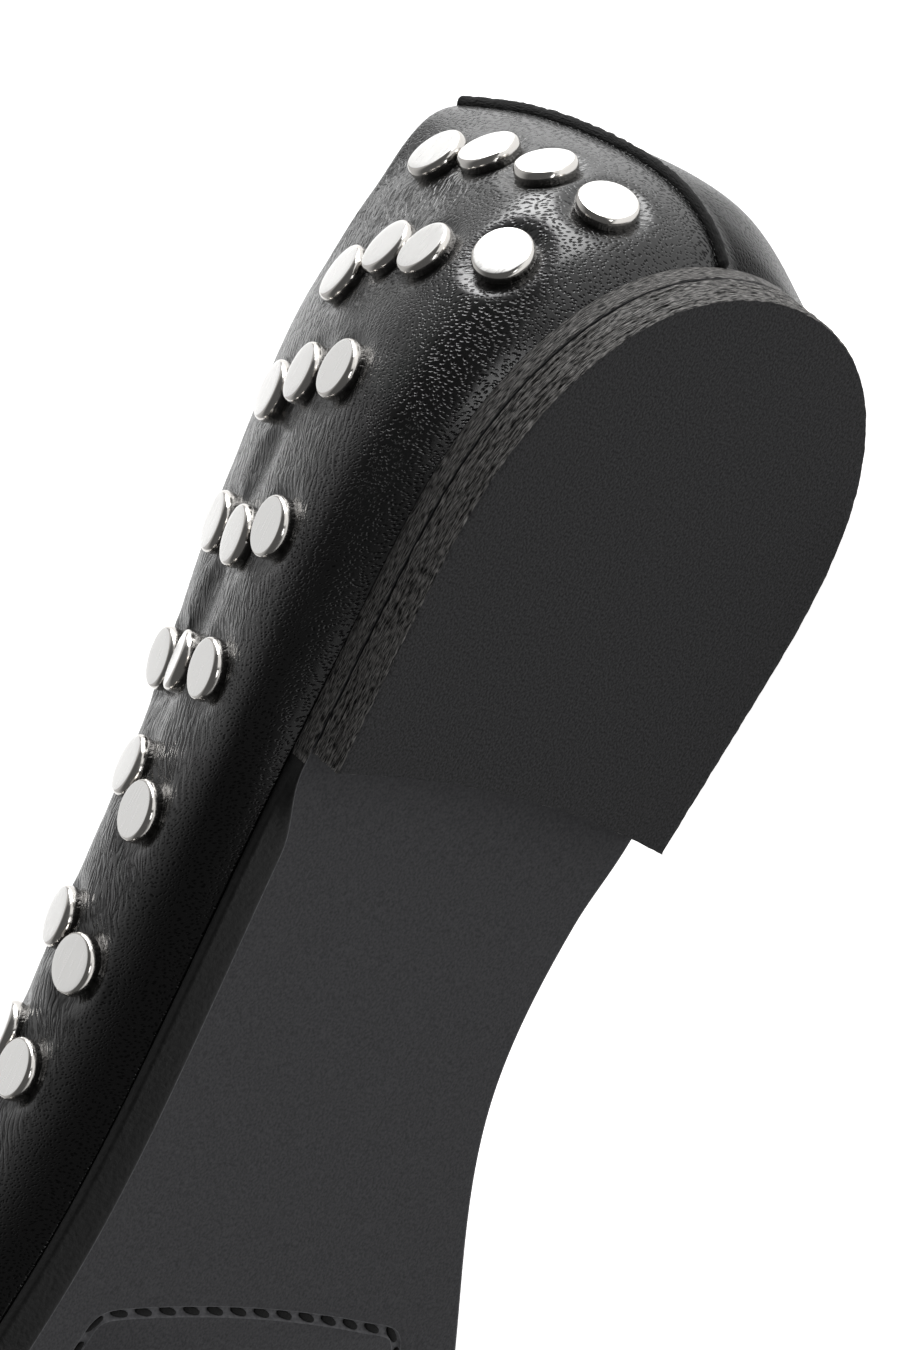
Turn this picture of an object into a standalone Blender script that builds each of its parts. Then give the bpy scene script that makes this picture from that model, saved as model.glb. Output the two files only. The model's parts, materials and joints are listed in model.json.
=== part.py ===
"""Left ballet flat in soft leather, with a low stacked heel and flat disc studs along its quarters.

The shoe is shaped in its own axes, in millimetres: X from the heel's back to the toe, Y to the
lateral side, Z up from the tread. An empty then lays it on its medial side, where it rests by itself.
"""
import math

import bmesh
import bpy
import numpy as np
from mathutils import Matrix, Vector
from mathutils.bvhtree import BVHTree

MM = 0.001

# Driving dimensions
LENGTH = 245.0
BALL_WIDTH = 80.0
INSTEP = 31.0
BACK_HEIGHT = 46.0
HEEL_HEIGHT = 4.7
LEATHER = 1.8
GAP = 0.3

# Heel and outsole
HEEL_LENGTH = 62.6
BREAST_SAG = 2.3
SOLE_SEAT = 2.5
SOLE_TREAD = 3.2
SOLE_EDGE = 1.25
SOLE_BLEND = 60.0
WAIST_BEVEL = 2.6
MEDIAL_BEVEL = 0.8
BEVEL_START = 2.0
BEVEL_RUN = 10.0
TOE_BEVEL = 1.5
TREAD_START = 152.0
TREAD_END = 186.0
TOE_SPRING = 6.0

# Upper, insole and trim
FEATHER_INSET = 0.8
THROAT = 172.0
THROAT_ROUND = 7
VAMP_SLOPE = -0.22
SWELL_REACH = 0.6
INSOLE = 1.6
INSOLE_INSET = 3.0
CORD_WIDTH = 1.7
CORD_HEIGHT = 1.0
CORD_FOOT = 3.4
CORD_HEAD = 1.0
CORD_SPAN = (0.02, 0.995)
STUD_RADIUS = 3.5
STUD_HEIGHT = 1.4
STUD_ROUND = 0.5

# Faceting
SIDE_STEPS = 34
SIDE_CROWDING = 1.3
TOE_STEPS = 12
WALL_STEPS = 9
RIB_SAMPLES = 120
RIB_CROWDING = 1.6
HEEL_STEPS = 40
BREAST_STEPS = 8
CORD_STEPS = 14
CORD_SIDES = 4
STUD_SIDES = 16
STUD_PROBES = 8
SHARP_ANGLE = 24.0

# One row for each section from the heel's back to the toe. x and pivot_x are shares of LENGTH; lateral,
# medial and pivot_y shares of BALL_WIDTH; crown of INSTEP; wall of BACK_HEIGHT. square is the exponent of
# the section's curve, and the wall bulges by bulge mm at peak mm above the sole. The pivot is where the
# section would close over the foot, and wall is the leather's height up to the topline.
SECTION_COLUMNS = ("x", "lateral", "medial", "pivot_x", "pivot_y", "crown", "square", "bulge", "peak", "wall")
SECTIONS = {
    "heel back":   (0.000, 0.0000, 0.0000, 0.147, 0.000, 2.30, 2.2, 4.1, 15.5, 1.030),
    "heel corner": (0.021, 0.2000, 0.2000, 0.147, 0.000, 1.87, 1.7, 5.4, 15.0, 1.010),
    "heel side":   (0.082, 0.3225, 0.3225, 0.151, 0.000, 1.58, 1.7, 5.1, 11.0, 1.055),
    "seat front":  (0.184, 0.3400, 0.3400, 0.188, 0.000, 1.49, 1.75, 5.4, 9.0, 0.930),
    "breast":      (0.286, 0.3175, 0.3214, 0.286, -0.006, 1.11, 2.5, 4.1, 7.0, 0.746),
    "waist":       (0.388, 0.3013, 0.3272, 0.388, -0.025, 0.92, 3.05, 3.1, 11.0, 0.724),
    "arch front":  (0.498, 0.3088, 0.4739, 0.498, -0.075, 0.88, 3.2, 2.5, 9.0, 0.700),
    "joint":       (0.604, 0.3563, 0.6060, 0.604, -0.113, 0.93, 2.9, 2.4, 9.0, 0.739),
    "ball":        (0.710, 0.3780, 0.6220, 0.710, -0.144, 1.00, 2.5, 2.0, 8.0, 0.826),
    "toe box":     (0.8245, 0.3313, 0.5750, 0.808, -0.169, 0.86, 2.3, 1.5, 7.0, 0.826),
    "toe side":    (0.937, 0.1840, 0.4610, 0.857, -0.180, 0.76, 2.2, 1.5, 6.0, 0.826),
    "toe corner":  (0.984, 0.0140, 0.3340, 0.8735, -0.181, 0.72, 2.2, 1.5, 6.0, 0.826),
    "toe tip":     (1.000, -0.1813, 0.1813, 0.8816, -0.181, 0.70, 2.2, 1.5, 6.0, 0.826),
}

# One row for each soft fold of the wall, on both sides: its station along the sole's edge from the heel's
# back, its height up the leather, its depth, and how far it fades along and up, in millimetres.
FOLD_COLUMNS = ("station", "height", "depth", "along", "up")
FOLDS = {
    "quarter fold": (80.0, 26.0, 1.5, 9.0, 5.0),
}

# One row for each upright column of studs on a quarter, from its lowest stud up: each stud's station along the
# sole's edge from the heel's back, and its height up the leather, in millimetres.
STUDS = {
    "a": ((13.0, 9.2), (13.0, 19.4), (13.0, 28.9), (14.0, 36.3)),
    "b": ((24.1, 9.8), (27.1, 19.9), (27.8, 27.4), (32.0, 33.8)),
    "c": ((42.0, 18.1), (44.9, 26.6), (49.4, 33.7)),
    "d": ((59.4, 14.4), (63.8, 22.1), (65.8, 31.2)),
    "e": ((76.6, 14.5), (79.6, 23.0), (82.0, 30.6)),
    "f": ((93.9, 14.1), (91.8, 21.4)),
    "g": ((111.8, 12.6), (109.8, 20.2)),
    "h": ((125.8, 14.0), (124.6, 21.4)),
    "i": ((143.0, 14.2), (143.0, 22.0)),
    "j": ((160.0, 14.2), (160.0, 22.0)),
}
STUDDED = {"lateral": "abcdefghij", "medial": "bcdefghij"}


def ease(share):
    """Smooth step from 0 to 1."""
    share = np.clip(share, 0.0, 1.0)
    return share * share * (3.0 - 2.0 * share)


def section_column(name):
    """One column of the section table, as an array."""
    return np.array([row[SECTION_COLUMNS.index(name)] for row in SECTIONS.values()])


def closed_spline(knots, values, period):
    """Smooth closed curve through the rows of values, as a function of the distance along it."""
    count = len(knots)
    spans = np.diff(np.append(knots, knots[0] + period))
    system = np.zeros((count, count))
    pull = np.zeros_like(values)
    for i in range(count):
        before, after, follower = spans[i - 1], spans[i], (i + 1) % count
        system[i, i - 1] += before
        system[i, i] += 2.0 * (before + after)
        system[i, follower] += after
        pull[i] = 6.0 * ((values[follower] - values[i]) / after - (values[i] - values[i - 1]) / before)
    bend = np.linalg.solve(system, pull)

    def at(distance):
        distance = np.mod(np.atleast_1d(distance), period)
        i = np.clip(np.searchsorted(knots, distance, side="right") - 1, 0, count - 1)
        j = (i + 1) % count
        span = spans[i][:, None]
        past = distance[:, None] - knots[i][:, None]
        ahead = span - past
        curve = (bend[i] * ahead ** 3 + bend[j] * past ** 3) / (6.0 * span)
        curve += (values[i] / span - bend[i] * span / 6.0) * ahead
        return curve + (values[j] / span - bend[j] * span / 6.0) * past

    return at


# The sole's edge as one closed curve: up the lateral side to the toe and back down the medial side
lateral_edge = np.column_stack([section_column("x") * LENGTH, section_column("lateral") * BALL_WIDTH])
medial_edge = np.column_stack([section_column("x") * LENGTH, -section_column("medial") * BALL_WIDTH])
shared = np.column_stack([
    section_column("pivot_x") * LENGTH, section_column("pivot_y") * BALL_WIDTH,
    section_column("crown") * INSTEP, section_column("square"), section_column("bulge"),
    section_column("peak"), section_column("wall") * BACK_HEIGHT])
chords = [np.linalg.norm(np.diff(edge, axis=0), axis=1) for edge in (lateral_edge, medial_edge)]
side_knots = np.append(0.0, np.cumsum(sum(chords) / 2.0))
TIP = side_knots[-1]
ROUND = 2.0 * TIP
lateral_rows = np.column_stack([lateral_edge, shared])
medial_rows = np.column_stack([medial_edge, shared])
section_at = closed_spline(np.append(side_knots, ROUND - side_knots[-2:0:-1]),
                           np.vstack([lateral_rows, medial_rows[-2:0:-1]]), ROUND)
fine_stations = np.linspace(0.0, TIP, 2000)
THROAT_STATION = float(np.interp(THROAT, section_at(fine_stations)[:, 2], fine_stations))


def outward(stations):
    """Level unit normals of the sole's edge, pointing out of the shoe."""
    step = 0.05
    along = section_at(stations + step)[:, :2] - section_at(stations - step)[:, :2]
    normal = np.column_stack([-along[:, 1], along[:, 0]])
    return normal / np.linalg.norm(normal, axis=1)[:, None]


def edge(stations, inset):
    """Points of the sole's edge in plan, moved inwards by inset."""
    return section_at(stations)[:, :2] - outward(stations) * np.reshape(inset, (-1, 1))


def underside(x):
    """Height of the outsole's underside: level over the heel, down to the tread, up at the toe."""
    shank = HEEL_HEIGHT * (1.0 - ease((x - HEEL_LENGTH) / (TREAD_START - HEEL_LENGTH)))
    spring = TOE_SPRING * np.clip((x - TREAD_END) / (LENGTH - TREAD_END), 0.0, 1.0) ** 2
    return shank + spring


def seat(x):
    """Height of the outsole's top, where the upper meets it."""
    return underside(x) + SOLE_SEAT + (SOLE_TREAD - SOLE_SEAT) * ease((x - HEEL_LENGTH) / SOLE_BLEND)


def from_back(stations):
    """Distance along the edge from the heel's back, the same on both sides."""
    stations = np.mod(stations, ROUND)
    return np.minimum(stations, ROUND - stations)


def ribs(stations):
    """The sections' curves from the sole's edge to the crown, each with its lengths along the leather."""
    rows = section_at(stations)
    foot, pivot = rows[:, :2], rows[:, 2:4]
    crown, square, bulge, peak = (rows[:, i:i + 1] for i in range(4, 8))
    normal = outward(stations)
    start = foot - normal * FEATHER_INSET
    foot_z, pivot_z = seat(foot[:, :1]), seat(pivot[:, :1])
    slope = np.where(pivot[:, :1] > THROAT, VAMP_SLOPE, 0.0)
    curves = []
    for share in np.linspace(0.0, 1.0, RIB_SAMPLES):
        turn = 0.5 * math.pi * share ** RIB_CROWDING
        rise = crown * math.sin(turn) ** (2.0 / square)
        reach = (max(math.cos(turn), 0.0) if share < 1.0 else 0.0) ** (2.0 / square)
        swell = bulge * rise / peak * np.exp(1.0 - rise / peak) * ease(reach / SWELL_REACH)
        plan = pivot + (start - pivot) * reach + normal * swell
        base = pivot_z + (foot_z - pivot_z) * reach ** 2
        tilt = slope * (plan[:, :1] - pivot[:, :1]) * (1.0 - reach ** 2)
        curves.append(np.column_stack([plan, base + tilt + rise + GAP]))
    curves = np.array(curves)
    lengths = np.zeros(curves.shape[:2])
    lengths[1:] = np.cumsum(np.linalg.norm(np.diff(curves, axis=0), axis=2), axis=0)
    return curves, lengths


def topline(stations, lengths):
    """Height of the topline up the leather: the wall's height, and the whole section past the throat."""
    wall = np.minimum(section_at(stations)[:, 8], lengths[-1])
    opening = np.sqrt(1.0 - np.clip(from_back(stations) / THROAT_STATION, 0.0, 1.0) ** THROAT_ROUND)
    return lengths[-1] - (lengths[-1] - wall) * opening


def fold_depth(stations, heights):
    """How far the soft folds draw the leather in, for arrays of stations and heights."""
    depth = np.zeros(np.broadcast(stations, heights).shape)
    for row in FOLDS.values():
        fold = dict(zip(FOLD_COLUMNS, row))
        away = ((from_back(stations) - fold["station"]) / fold["along"]) ** 2
        depth = depth + fold["depth"] * np.exp(-away - ((heights - fold["height"]) / fold["up"]) ** 2)
    return depth


def wall_points(stations, heights):
    """Points on the leather's outside. heights has a row for each level and a column for each station."""
    curves, lengths = ribs(stations)
    points = np.zeros(heights.shape + (3,))
    for column in range(len(stations)):
        for axis in range(3):
            points[:, column, axis] = np.interp(heights[:, column], lengths[:, column], curves[:, column, axis])
    points[:, :, :2] -= outward(stations)[None] * fold_depth(stations[None], heights)[:, :, None]
    return points


def wall_frame(station, height):
    """A point on the leather's outside, its outward normal and its direction upwards."""
    step = 0.4
    stations = np.array([station - step, station, station + step])
    heights = np.repeat(np.array([[height - step], [height], [height + step]]), 3, axis=1)
    patch = wall_points(stations, heights)
    up = Vector(patch[2, 1] - patch[0, 1]).normalized()
    normal = up.cross(Vector(patch[1, 2] - patch[1, 0])).normalized()
    return Vector(patch[1, 1]), normal, up


def make_object(name, mesh, material):
    """One sub-part, held by the shoe's resting empty."""
    piece = bpy.data.objects.new(name, mesh)
    bpy.context.scene.collection.objects.link(piece)
    mesh.materials.append(material)
    mesh.shade_smooth()
    mesh.set_sharp_from_angle(angle=math.radians(SHARP_ANGLE))
    piece.parent = rest
    return piece


def make_mesh(name, build):
    """A mesh in metres from the bmesh that build makes in millimetres, with its faces pointing out."""
    shape = bmesh.new()
    build(shape)
    bmesh.ops.recalc_face_normals(shape, faces=shape.faces)
    bmesh.ops.scale(shape, vec=(MM, MM, MM), verts=shape.verts)
    mesh = bpy.data.meshes.new(name)
    shape.to_mesh(mesh)
    shape.free()
    return mesh


def add_points(shape, points):
    """Vertices for an array of points."""
    return [shape.verts.new(point) for point in points]


def bridge(shape, lower, upper):
    """A closed band of faces between two rings with the same number of vertices."""
    for i in range(len(lower)):
        j = (i + 1) % len(lower)
        shape.faces.new((lower[i], lower[j], upper[j], upper[i]))


def strips(shape, ring):
    """Faces across a ring of an even number of vertices, from one side of the shoe to the other."""
    last = len(ring) // 2
    shape.faces.new((ring[0], ring[1], ring[-1]))
    for i in range(1, last - 1):
        shape.faces.new((ring[i], ring[i + 1], ring[-i - 1], ring[-i]))
    shape.faces.new((ring[last - 1], ring[last], ring[last + 1]))


def make_material(name, colour, roughness, metallic=0.0):
    """Plain finish of one material."""
    material = bpy.data.materials.new(name)
    material.use_nodes = True
    shader = material.node_tree.nodes["Principled BSDF"]
    shader.inputs["Base Color"].default_value = (*colour, 1.0)
    shader.inputs["Roughness"].default_value = roughness
    shader.inputs["Metallic"].default_value = metallic
    return material


# Start from an empty scene
for leftover in list(bpy.data.objects):
    bpy.data.objects.remove(leftover)
rest = bpy.data.objects.new("rest", None)
bpy.context.scene.collection.objects.link(rest)
black_leather = make_material("black leather", (0.012, 0.012, 0.013), 0.35)
sole_leather = make_material("charcoal sole", (0.022, 0.022, 0.023), 0.75)
heel_leather = make_material("stacked heel", (0.018, 0.018, 0.018), 0.70)
lining = make_material("insole lining", (0.030, 0.028, 0.027), 0.60)
cord_leather = make_material("seam cord", (0.006, 0.006, 0.006), 0.85)
steel = make_material("polished steel", (0.78, 0.78, 0.77), 0.22, metallic=1.0)

# Stations round the shoe, closer together towards the throat, the same on both sides
side_share = np.linspace(0.0, 1.0, SIDE_STEPS + 1)
side_stations = THROAT_STATION * (1.0 - (1.0 - side_share) ** SIDE_CROWDING)
toe_stations = np.linspace(THROAT_STATION, TIP, TOE_STEPS + 1)[1:]
half_stations = np.append(side_stations, toe_stations)
stations = np.append(half_stations, ROUND - half_stations[-2:0:-1])


def build_upper_sheet(shape):
    """The leather's outside: open at the topline, closed along the spine past the throat."""
    lengths = ribs(stations)[1]
    levels = np.outer(np.linspace(0.0, 1.0, WALL_STEPS + 1), topline(stations, lengths))
    grid = [add_points(shape, level) for level in wall_points(stations, levels)]
    count = len(stations)
    top = grid[-1]
    for i in range(SIDE_STEPS, len(half_stations) - 1):
        shape.verts.remove(top[count - i])
        top[count - i] = top[i]
    for lower, upper in zip(grid, grid[1:]):
        bridge(shape, lower, upper)


def make_upper():
    """The upper: one sheet of leather with its real thickness laid on the inside."""
    upper = make_object("upper", make_mesh("upper", build_upper_sheet), black_leather)
    thickness = upper.modifiers.new("leather", "SOLIDIFY")
    thickness.thickness = LEATHER * MM
    thickness.offset = -1.0
    thickness.use_even_offset = True
    return upper


def build_outsole(shape):
    """Outsole: an upright edge, a bevel under it ahead of the heel, and flat strips above and below.

    The bevel is wide on the lateral side of the waist and narrow on the medial side.
    """
    x = section_at(stations)[:, 0]
    waist = np.where(stations > TIP, MEDIAL_BEVEL, WAIST_BEVEL)
    bevel = waist * ease((x - HEEL_LENGTH - BEVEL_START) / BEVEL_RUN)
    bevel = bevel + (TOE_BEVEL - waist) * ease((x - TREAD_START) / (LENGTH - TREAD_START))
    top, bottom = edge(stations, 0.0), edge(stations, bevel)
    rings = [add_points(shape, np.column_stack([top, seat(top[:, 0])])),
             add_points(shape, np.column_stack([top, seat(top[:, 0]) - SOLE_EDGE])),
             add_points(shape, np.column_stack([bottom, underside(top[:, 0])]))]
    bridge(shape, rings[0], rings[1])
    bridge(shape, rings[1], rings[2])
    strips(shape, rings[0])
    strips(shape, rings[2])


def build_heel(shape):
    """Heel: the outsole's outline cut off by a hollow breast edge, standing on the floor's plane."""
    reach = float(np.interp(HEEL_LENGTH, section_at(fine_stations)[:, 0], fine_stations))
    back = edge(np.linspace(-reach, reach, HEEL_STEPS + 1), 0.0)
    across = np.linspace(1.0, -1.0, BREAST_STEPS + 1)[1:-1]
    half = back[-1, 1]
    breast = np.column_stack([HEEL_LENGTH - BREAST_SAG * (1.0 - across ** 2), half * across])
    outline = np.vstack([back, breast])
    rings = [add_points(shape, np.column_stack([outline, np.full(len(outline), height)]))
             for height in (0.0, HEEL_HEIGHT - GAP)]
    bridge(shape, rings[0], rings[1])
    for ring in rings:
        shape.faces.new(ring)


def build_insole(shape):
    """Insole: a board that follows the outsole's top inside the upper."""
    plan = edge(stations, INSOLE_INSET)
    base = seat(plan[:, 0]) + GAP
    rings = [add_points(shape, np.column_stack([plan, base + lift])) for lift in (0.0, INSOLE)]
    bridge(shape, rings[0], rings[1])
    for ring in rings:
        strips(shape, ring)


def build_back_cord(shape):
    """Raised cord on the back seam, half round, from the sole to the topline."""
    lengths = ribs(np.array([0.0]))[1]
    head = topline(np.array([0.0]), lengths)[0]
    rings = []
    for share in np.linspace(*CORD_SPAN, CORD_STEPS + 1):
        station = CORD_FOOT + (CORD_HEAD - CORD_FOOT) * share
        point, normal, up = wall_frame(station, share * head)
        across = normal.cross(up)
        arch = [math.pi * k / CORD_SIDES for k in range(CORD_SIDES + 1)]
        ring = [point + normal * (GAP + CORD_HEIGHT * math.sin(a)) + across * (0.5 * CORD_WIDTH * math.cos(a))
                for a in arch]
        rings.append(add_points(shape, ring))
    for lower, upper in zip(rings, rings[1:]):
        bridge(shape, lower, upper)
    shape.faces.new(rings[0])
    shape.faces.new(rings[-1])


def build_stud(shape):
    """Flat disc with a rounded rim, its foot at the origin and its face up Z."""
    rings = []
    for radius, height in ((STUD_RADIUS, 0.0), (STUD_RADIUS, STUD_HEIGHT - STUD_ROUND),
                           (STUD_RADIUS - STUD_ROUND, STUD_HEIGHT)):
        turns = [2.0 * math.pi * k / STUD_SIDES for k in range(STUD_SIDES)]
        rings.append(add_points(shape, [(radius * math.cos(a), radius * math.sin(a), height) for a in turns]))
    bridge(shape, rings[0], rings[1])
    bridge(shape, rings[1], rings[2])
    shape.faces.new(rings[0])
    shape.faces.new(rings[-1])


def place_stud(name, mesh, surface, station, height):
    """A stud set square on the leather, just clear of the highest point under it."""
    point, normal, up = wall_frame(station, height)
    across = up.cross(normal)
    under = [point] + [point + (across * math.cos(a) + up * math.sin(a)) * STUD_RADIUS
                       for a in (2.0 * math.pi * k / STUD_PROBES for k in range(STUD_PROBES))]
    probe = 6.0
    highest = -probe
    for spot in under:
        depth = surface.ray_cast((spot + normal * probe) * MM, -normal)[3]
        if depth is not None:
            highest = max(highest, probe - depth / MM)
    stud = make_object(name, mesh, steel)
    turn = Matrix((across, up, normal)).transposed().to_4x4()
    stud.matrix_local = Matrix.Translation((point + normal * (highest + GAP)) * MM) @ turn


def make_studs(upper):
    """Columns of studs on both quarters."""
    sheet = bmesh.new()
    sheet.from_mesh(upper.data)
    surface = BVHTree.FromBMesh(sheet)
    sheet.free()
    for side, letters in STUDDED.items():
        for letter in letters:
            for number, (station, height) in enumerate(STUDS[letter], start=1):
                name = f"stud_{side}_{letter}{number}"
                round_station = station if side == "lateral" else ROUND - station
                place_stud(name, make_mesh(name, build_stud), surface, round_station, height)


def world_points():
    """All corners of the shoe in metres, with its centre of mass, before it is laid down."""
    bpy.context.view_layer.update()
    graph = bpy.context.evaluated_depsgraph_get()
    corners, moment, volume = [], Vector(), 0.0
    for piece in rest.children:
        shape = bmesh.new()
        shape.from_object(piece, graph)
        shape.transform(piece.matrix_world)
        bmesh.ops.triangulate(shape, faces=shape.faces)
        corners.extend(vert.co.copy() for vert in shape.verts)
        for face in shape.faces:
            a, b, c = (vert.co for vert in face.verts)
            part = a.dot(b.cross(c)) / 6.0
            volume += part
            moment += part * (a + b + c) / 4.0
        shape.free()
    return corners, moment / volume


def resting_face(corners, centre):
    """Direction of the floor under the shoe: the hull face, nearest to the medial side, that carries it."""
    sideways = -0.5
    hull = bmesh.new()
    for corner in corners:
        hull.verts.new(corner)
    bmesh.ops.convex_hull(hull, input=hull.verts)
    best = None
    for face in hull.faces:
        normal = face.normal
        if normal.y > sideways or face.calc_area() == 0.0:
            continue
        foot = centre + normal * (face.verts[0].co - centre).dot(normal)
        loop = [vert.co for vert in face.verts]
        turns = [(b - a).cross(foot - a).dot(normal) for a, b in zip(loop, loop[1:] + loop[:1])]
        if min(turns) >= 0.0 and (best is None or normal.y < best.y):
            best = normal.copy()
    hull.free()
    return best


def lay_down():
    """Lays the shoe on its medial side, long axis along X, with its box's bottom centre at the origin."""
    corners, centre = world_points()
    up = -resting_face(corners, centre)
    along = Vector((LENGTH, medial_edge[-1, 1], 0.0))
    along = (along - up * along.dot(up)).normalized()
    turn = Matrix((along, up.cross(along), up))
    turned = [turn @ corner for corner in corners]
    low = Vector(min(point[axis] for point in turned) for axis in range(3))
    high = Vector(max(point[axis] for point in turned) for axis in range(3))
    shift = Vector((-(low.x + high.x) / 2.0, -(low.y + high.y) / 2.0, -low.z))
    rest.matrix_world = Matrix.Translation(shift) @ turn.to_4x4()


upper_piece = make_upper()
make_object("outsole", make_mesh("outsole", build_outsole), sole_leather)
make_object("heel_stack", make_mesh("heel_stack", build_heel), heel_leather)
make_object("insole", make_mesh("insole", build_insole), lining)
make_object("back_cord", make_mesh("back_cord", build_back_cord), cord_leather)
make_studs(upper_piece)
lay_down()
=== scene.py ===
"""Left ballet flat of soft black leather, studded along its quarters, lying on its medial side."""
import json
import math

import bpy
import numpy as np
from mathutils import Matrix, Vector, noise


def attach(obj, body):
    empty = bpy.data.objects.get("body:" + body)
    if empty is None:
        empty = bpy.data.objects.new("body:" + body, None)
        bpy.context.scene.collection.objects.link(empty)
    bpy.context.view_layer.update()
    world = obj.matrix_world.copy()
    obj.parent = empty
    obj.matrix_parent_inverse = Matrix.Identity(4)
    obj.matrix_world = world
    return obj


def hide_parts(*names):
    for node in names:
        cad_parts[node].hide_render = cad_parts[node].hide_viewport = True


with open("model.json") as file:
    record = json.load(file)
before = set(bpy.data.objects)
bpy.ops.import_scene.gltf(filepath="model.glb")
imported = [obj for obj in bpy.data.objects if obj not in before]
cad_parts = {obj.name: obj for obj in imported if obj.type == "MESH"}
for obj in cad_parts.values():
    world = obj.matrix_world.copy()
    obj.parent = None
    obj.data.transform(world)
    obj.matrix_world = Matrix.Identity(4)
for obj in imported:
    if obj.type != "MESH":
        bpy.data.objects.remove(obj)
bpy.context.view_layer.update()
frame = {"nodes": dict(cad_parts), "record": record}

# The shoe's own axes
# Every piece is shaped in millimetres on the axes of the last: X from the heel's back to the toe, Y to the
# lateral side, Z up from the tread. The sole's two flats, which the frame gives, tie those axes to the frame.
MM = 0.001
SHARP_EDGE = math.radians(55.0)
HEEL_FLAT = np.array([30.0, 0.0, 0.0])
TREAD_FLAT = np.array([169.0, -9.0, 0.0])


def square_axes(along, up):
    """Three square unit axes, as columns: along, across and up."""
    up = up / np.linalg.norm(up)
    along = along - up * (along @ up)
    along = along / np.linalg.norm(along)
    return np.column_stack([along, np.cross(up, along), up])


flats = {mount["name"]: mount for mount in frame["record"]["mounts"]}
heel_at = np.array(flats["heel_flat"]["pos_m"])
tread_at = np.array(flats["tread_flat"]["pos_m"])
last_up = -np.array(flats["heel_flat"]["axis"])
last_axes = square_axes(TREAD_FLAT - HEEL_FLAT, np.array([0.0, 0.0, 1.0]))
lay = square_axes(tread_at - heel_at, last_up) @ last_axes.T


def in_frame(points):
    """Points in millimetres on the last, in the frame's metres."""
    return heel_at + (np.asarray(points) - HEEL_FLAT) * MM @ lay.T


def on_last(points):
    """Points in the frame's metres, in millimetres on the last."""
    return HEEL_FLAT + (np.asarray(points) - heel_at) @ lay / MM


def make_piece(name, points, faces, materials, marks, face_slots=None):
    """One piece that rides with the shoe: a smooth mesh, with a vector at each point for each mark."""
    used = sorted({corner for face in faces for corner in face})
    place = {old: new for new, old in enumerate(used)}
    mesh = bpy.data.meshes.new(name)
    corners = [[place[corner] for corner in face] for face in faces]
    mesh.from_pydata(in_frame(points)[used].tolist(), [], corners)
    for material in materials:
        mesh.materials.append(material)
    if face_slots is not None:
        mesh.polygons.foreach_set("material_index", face_slots)
    for mark, values in marks.items():
        layer = mesh.attributes.new(mark, "FLOAT_VECTOR", "POINT")
        layer.data.foreach_set("vector", np.asarray(values, np.float32)[used].ravel())
    mesh.shade_smooth()
    mesh.set_sharp_from_angle(angle=SHARP_EDGE)
    mesh.validate()
    piece = bpy.data.objects.new(name, mesh)
    bpy.context.scene.collection.objects.link(piece)
    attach(piece, "root")
    return piece


# The upper
# Soft leather, bonded to a thin lining, drawn over the last and turned in under the sole. Its topline is
# folded over a thin edge, and the studs draw it into shallow dimples. One closed shell, leather outside and
# lining inside.
LENGTH = 245.0
BALL_WIDTH = 80.0
INSTEP = 31.0
BACK_HEIGHT = 46.0
HEEL_HEIGHT = 4.7
HEEL_LENGTH = 62.6
SOLE_SEAT = 2.5
SOLE_TREAD = 3.2
SOLE_BLEND = 60.0
TREAD_START = 152.0
TREAD_END = 186.0
TOE_SPRING = 6.0
FEATHER_INSET = 0.35
FLUSH_SHARE = 0.7
FEATHER_GAP = 0.1
FLUSH_TO = 60.0
FLUSH_FADE = 40.0
TUCK = 1.0
TUCK_HEIGHT = 0.3
TUCK_WOBBLE = 0.6
THROAT = 172.0
THROAT_ROUND = 7
VAMP_SLOPE = -0.22
SWELL_REACH = 0.6
LEATHER = 1.7
LIFT = 0.2
LIFT_RISE = 3.0
RIB_SAMPLES = 420
RIB_CROWDING = 1.6
WALL_ROWS = 74
LINING_ROWS = 18
RIM_STEPS = 7
FINE_STEP = 0.6
COARSE_STEP = 1.3
FINE_FRONT = 176.0
FINE_BACK = 46.0

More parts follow.
